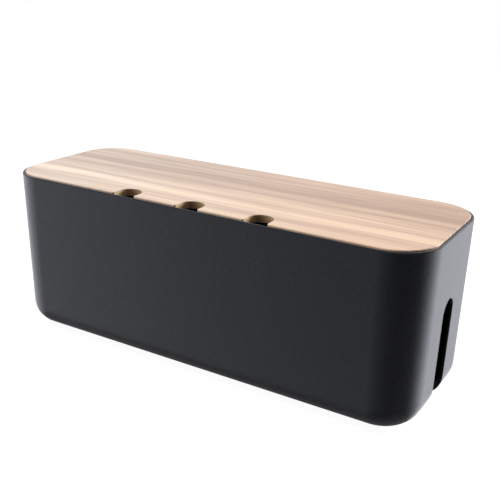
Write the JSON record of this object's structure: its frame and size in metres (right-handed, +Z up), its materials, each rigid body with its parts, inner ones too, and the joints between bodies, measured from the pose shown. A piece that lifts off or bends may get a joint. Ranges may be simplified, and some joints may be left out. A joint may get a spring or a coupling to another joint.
{
  "type": "cable management box",
  "caption": "Long box with rounded corners that hides a power strip, with a cable slot in each end and a wooden drop-in lid with cable notches.",
  "frame": {"origin": "on the table under the middle of the box, at the underside of the feet", "axes": "+X along the box, -Y out of the front with the lid's notches, +Z up"},
  "size_m": [0.4, 0.143, 0.1514],
  "materials": {
    "tub_plastic": "fine matt texture, charcoal",
    "lid_board": "bare fibreboard, sanded",
    "lid_veneer": "satin, pale streaked grain along the box",
    "lid_backing": "satin, plain",
    "foot_rubber": "matt"
  },
  "bodies": {
    "tub": {"tub": "tub_plastic", "foot_front_left": "foot_rubber", "foot_front_right": "foot_rubber", "foot_rear_left": "foot_rubber", "foot_rear_right": "foot_rubber"},
    "lid": {"lid_core": "lid_board", "lid_top_veneer": "lid_veneer", "lid_back_veneer": "lid_backing"}
  },
  "joints": [
    {"name": "lid_lift", "type": "slide", "parent": "tub", "child": "lid", "axis": [0, 0, 1], "range_m": [0, 0.1]}
  ]
}
